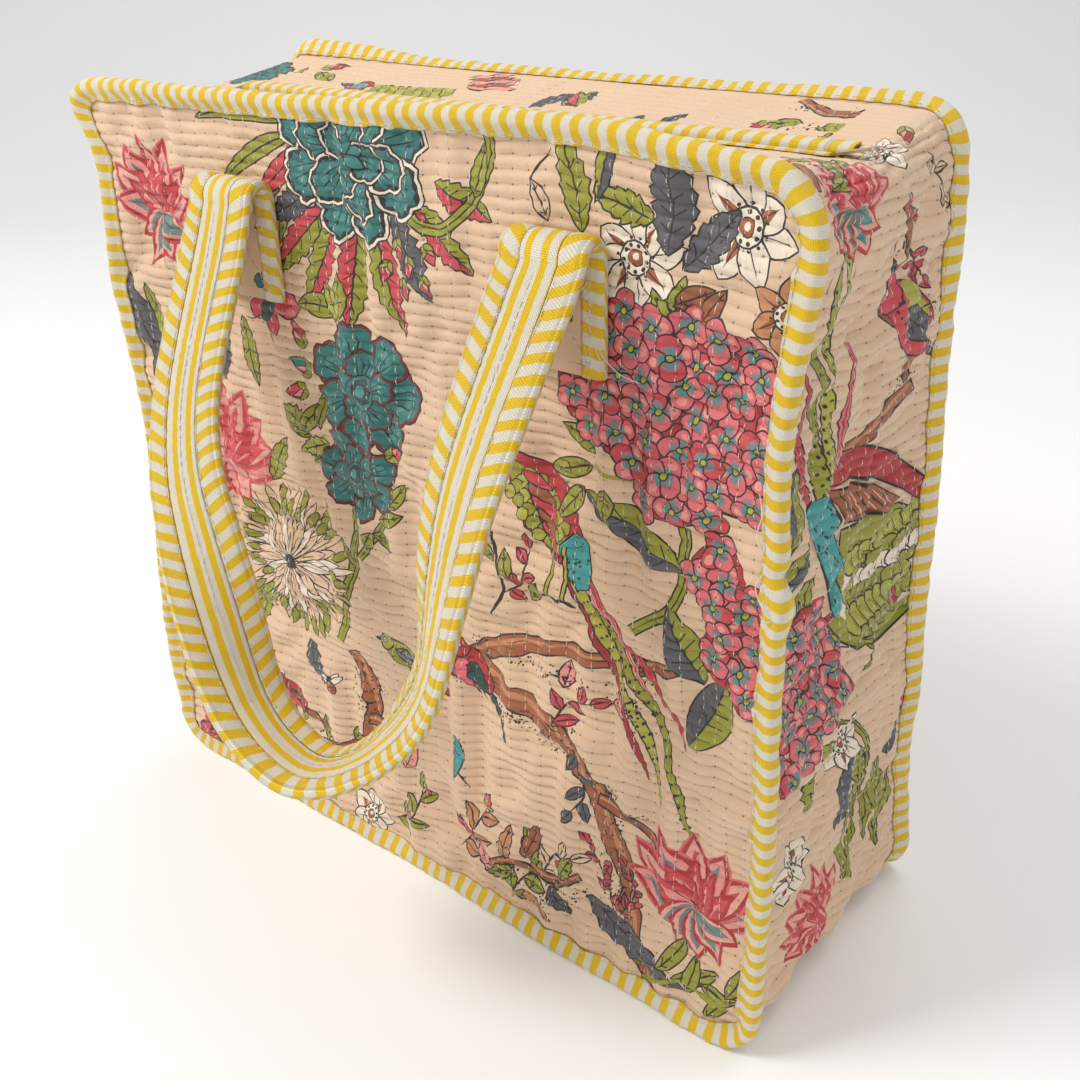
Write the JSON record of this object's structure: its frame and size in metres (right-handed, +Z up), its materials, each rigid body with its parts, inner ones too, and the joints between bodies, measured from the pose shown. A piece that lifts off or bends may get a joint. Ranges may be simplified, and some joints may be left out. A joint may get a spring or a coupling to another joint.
{
  "type": "knitting bag",
  "caption": "Square quilted cotton tote with striped seam bindings, a zipped top that folds open and two strap handles that hang at its sides.",
  "frame": {"origin": "on the floor, under the centre of the base", "axes": "+Z up, +X to the right seen from the front, the front panel faces -Y"},
  "size_m": [0.402, 0.3438, 0.396],
  "materials": {
    "printed_cotton": "soft",
    "wadding": "matt",
    "lining_cotton": "matt",
    "striped_binding": "matt",
    "striped_facing": "matt",
    "thread": "soft",
    "zip_tape": "matt",
    "zip_coil": "satin",
    "slider_metal": "satin"
  },
  "bodies": {
    "bag_body": {"front_panel_cloth": "printed_cotton", "front_panel_wadding": "wadding", "front_panel_lining": "lining_cotton", "back_panel_cloth": "printed_cotton", "back_panel_wadding": "wadding", "back_panel_lining": "lining_cotton", "gusset_cloth": "printed_cotton", "gusset_wadding": "wadding", "gusset_lining": "lining_cotton", "front_seam_binding": "striped_binding", "back_seam_binding": "striped_binding", "zip_end_bindings": "striped_binding", "zip_end_tapes": "zip_tape", "zip_end_coils": "zip_coil", "zip_stops": "zip_coil", "front_handle_end_straps": "printed_cotton", "front_handle_end_facings": "striped_facing", "front_handle_end_bindings": "striped_binding", "front_handle_anchor_stitches": "thread", "back_handle_end_straps": "printed_cotton", "back_handle_end_facings": "striped_facing", "back_handle_end_bindings": "striped_binding", "back_handle_anchor_stitches": "thread"},
    "front_handle": {"front_handle_strap": "printed_cotton", "front_handle_facing": "striped_facing", "front_handle_edge_bindings": "striped_binding"},
    "front_top_half": {"front_top_cloth": "printed_cotton", "front_top_wadding": "wadding", "front_top_lining": "lining_cotton", "front_zip_binding": "striped_binding", "front_zip_tape": "zip_tape", "front_zip_coil": "zip_coil"},
    "back_handle": {"back_handle_strap": "printed_cotton", "back_handle_facing": "striped_facing", "back_handle_edge_bindings": "striped_binding"},
    "back_top_half": {"back_top_cloth": "printed_cotton", "back_top_wadding": "wadding", "back_top_lining": "lining_cotton", "back_zip_binding": "striped_binding", "back_zip_tape": "zip_tape", "back_zip_coil": "zip_coil"},
    "zip_slider": {"zip_slider": "slider_metal"},
    "zip_pull": {"zip_pull": "slider_metal"}
  },
  "joints": [
    {"name": "front_handle_swing", "type": "hinge", "parent": "bag_body", "child": "front_handle", "pos_m": [0.007, -0.0834, 0.354], "axis": [-1, 0, 0], "range_deg": [0, 150]},
    {"name": "back_handle_swing", "type": "hinge", "parent": "bag_body", "child": "back_handle", "pos_m": [0.007, 0.0834, 0.354], "axis": [1, 0, 0], "range_deg": [0, 150]},
    {"name": "zip_slide", "type": "slide", "parent": "bag_body", "child": "zip_slider", "axis": [-1, 0, 0], "range_m": [0, 0.322]},
    {"name": "zip_pull_flip", "type": "hinge", "parent": "zip_slider", "child": "zip_pull", "pos_m": [0.161, 0, 0.38085], "axis": [0, -1, 0], "range_deg": [0, 155]},
    {"name": "front_top_open", "type": "hinge", "parent": "bag_body", "child": "front_top_half", "pos_m": [0, -0.063, 0.39127], "axis": [1, 0, 0], "range_deg": [0, 75]},
    {"name": "back_top_open", "type": "hinge", "parent": "bag_body", "child": "back_top_half", "pos_m": [0, 0.063, 0.39127], "axis": [-1, 0, 0], "range_deg": [0, 75]}
  ]
}
